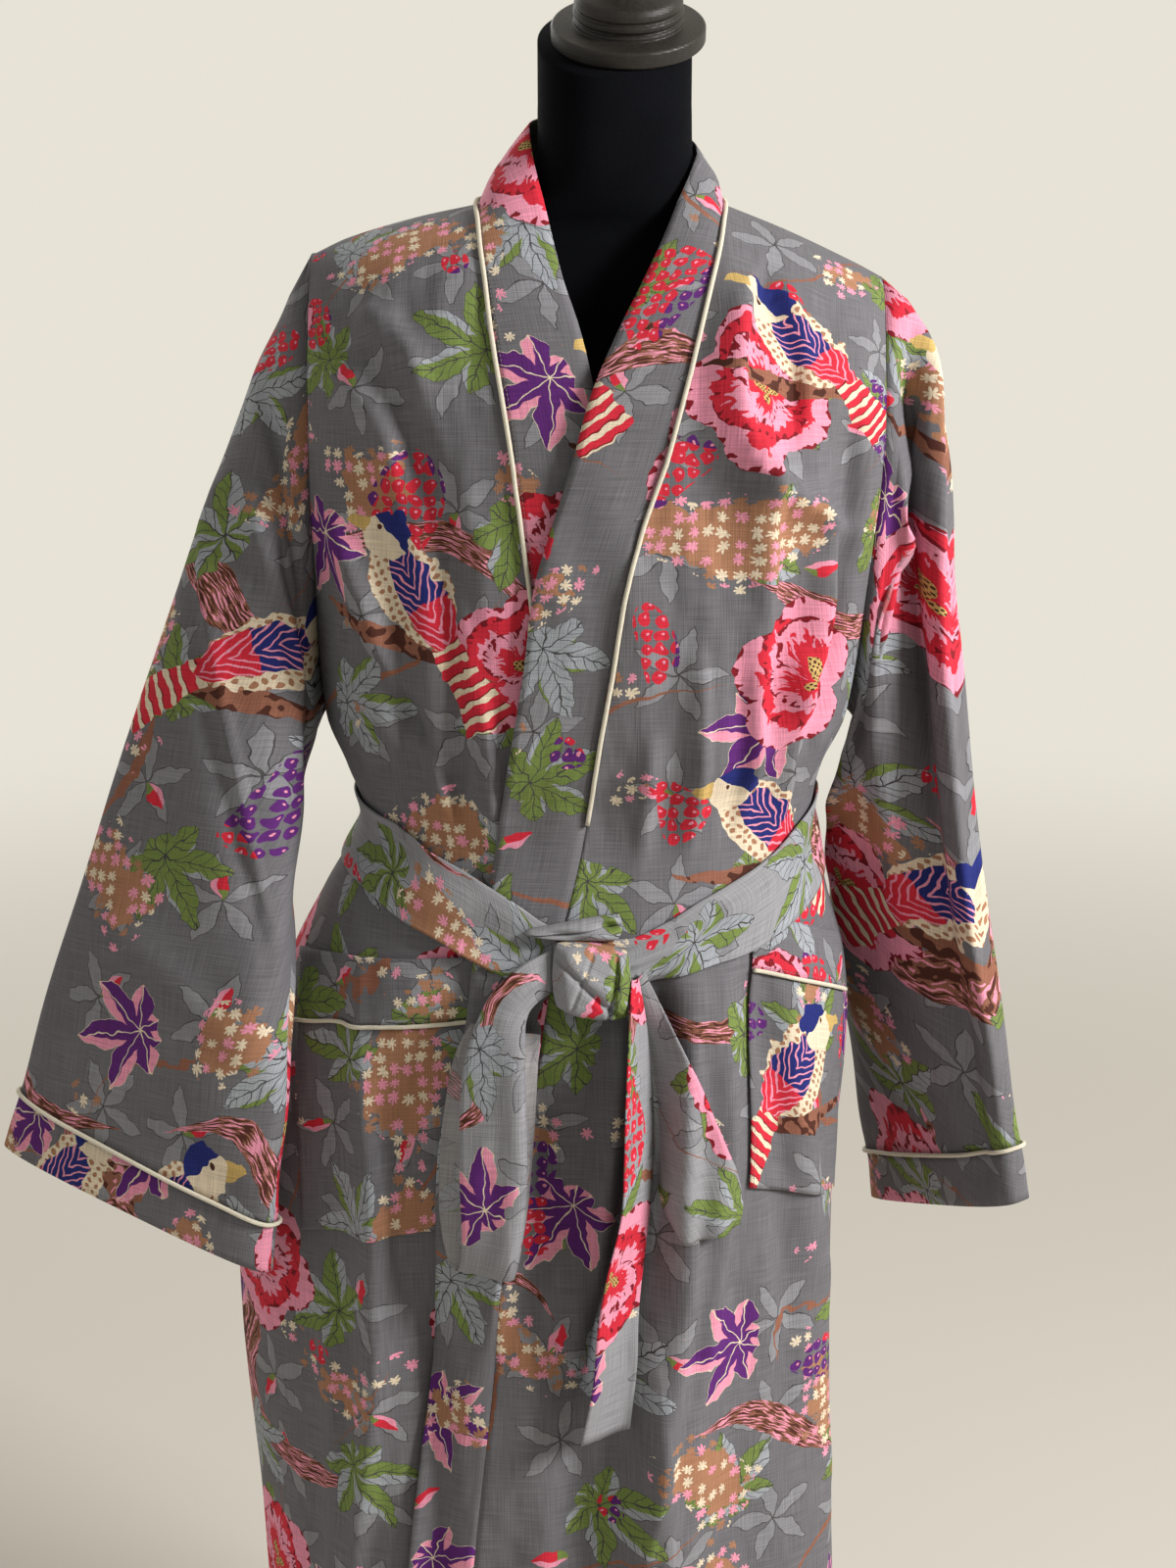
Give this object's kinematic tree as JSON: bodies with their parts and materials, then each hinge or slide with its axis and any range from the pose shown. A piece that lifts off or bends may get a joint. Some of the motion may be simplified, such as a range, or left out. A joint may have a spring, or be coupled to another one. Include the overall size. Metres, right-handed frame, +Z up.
{
  "type": "kimono robe on dress form",
  "caption": "Long wrap robe with wide open sleeves, patch pockets, piped front band and a tie belt, worn by a limbless dress form on a round stand.",
  "frame": {"origin": "on the floor, at the centre of the stand's underside", "axes": "+Z up along the pole, -Y towards the robe's front, +X towards the wearer's left"},
  "size_m": [0.7938, 0.3765, 1.6239],
  "materials": {
    "printed_cotton": "soft plain-weave cotton, printed with flowers, leaves and birds on grey",
    "belt_cotton": "the same printed cotton, doubled and pressed",
    "piping": "cream covered cord",
    "velvet": "black velvet, very matt",
    "black_wood": "black-stained turned wood, satin"
  },
  "bodies": {
    "root": {"front_left": "printed_cotton", "front_right": "printed_cotton", "robe_back": "printed_cotton", "sleeve_left": "printed_cotton", "sleeve_right": "printed_cotton", "cuff_left": "printed_cotton", "cuff_right": "printed_cotton", "neck_band_left": "printed_cotton", "neck_band_right": "printed_cotton", "pocket_left": "printed_cotton", "pocket_right": "printed_cotton", "pocket_band_left": "printed_cotton", "pocket_band_right": "printed_cotton", "belt_waist": "belt_cotton", "belt_knot": "belt_cotton", "belt_fold": "belt_cotton", "belt_loop": "belt_cotton", "belt_tail_long": "belt_cotton", "belt_tail_short": "belt_cotton", "piping_band_left": "piping", "piping_band_right": "piping", "piping_cuff_left": "piping", "piping_cuff_right": "piping", "piping_pocket_left": "piping", "piping_pocket_right": "piping", "form_torso": "velvet", "neck_cap": "black_wood", "stand_pole": "black_wood", "stand_base": "black_wood"}
  },
  "joints": []
}
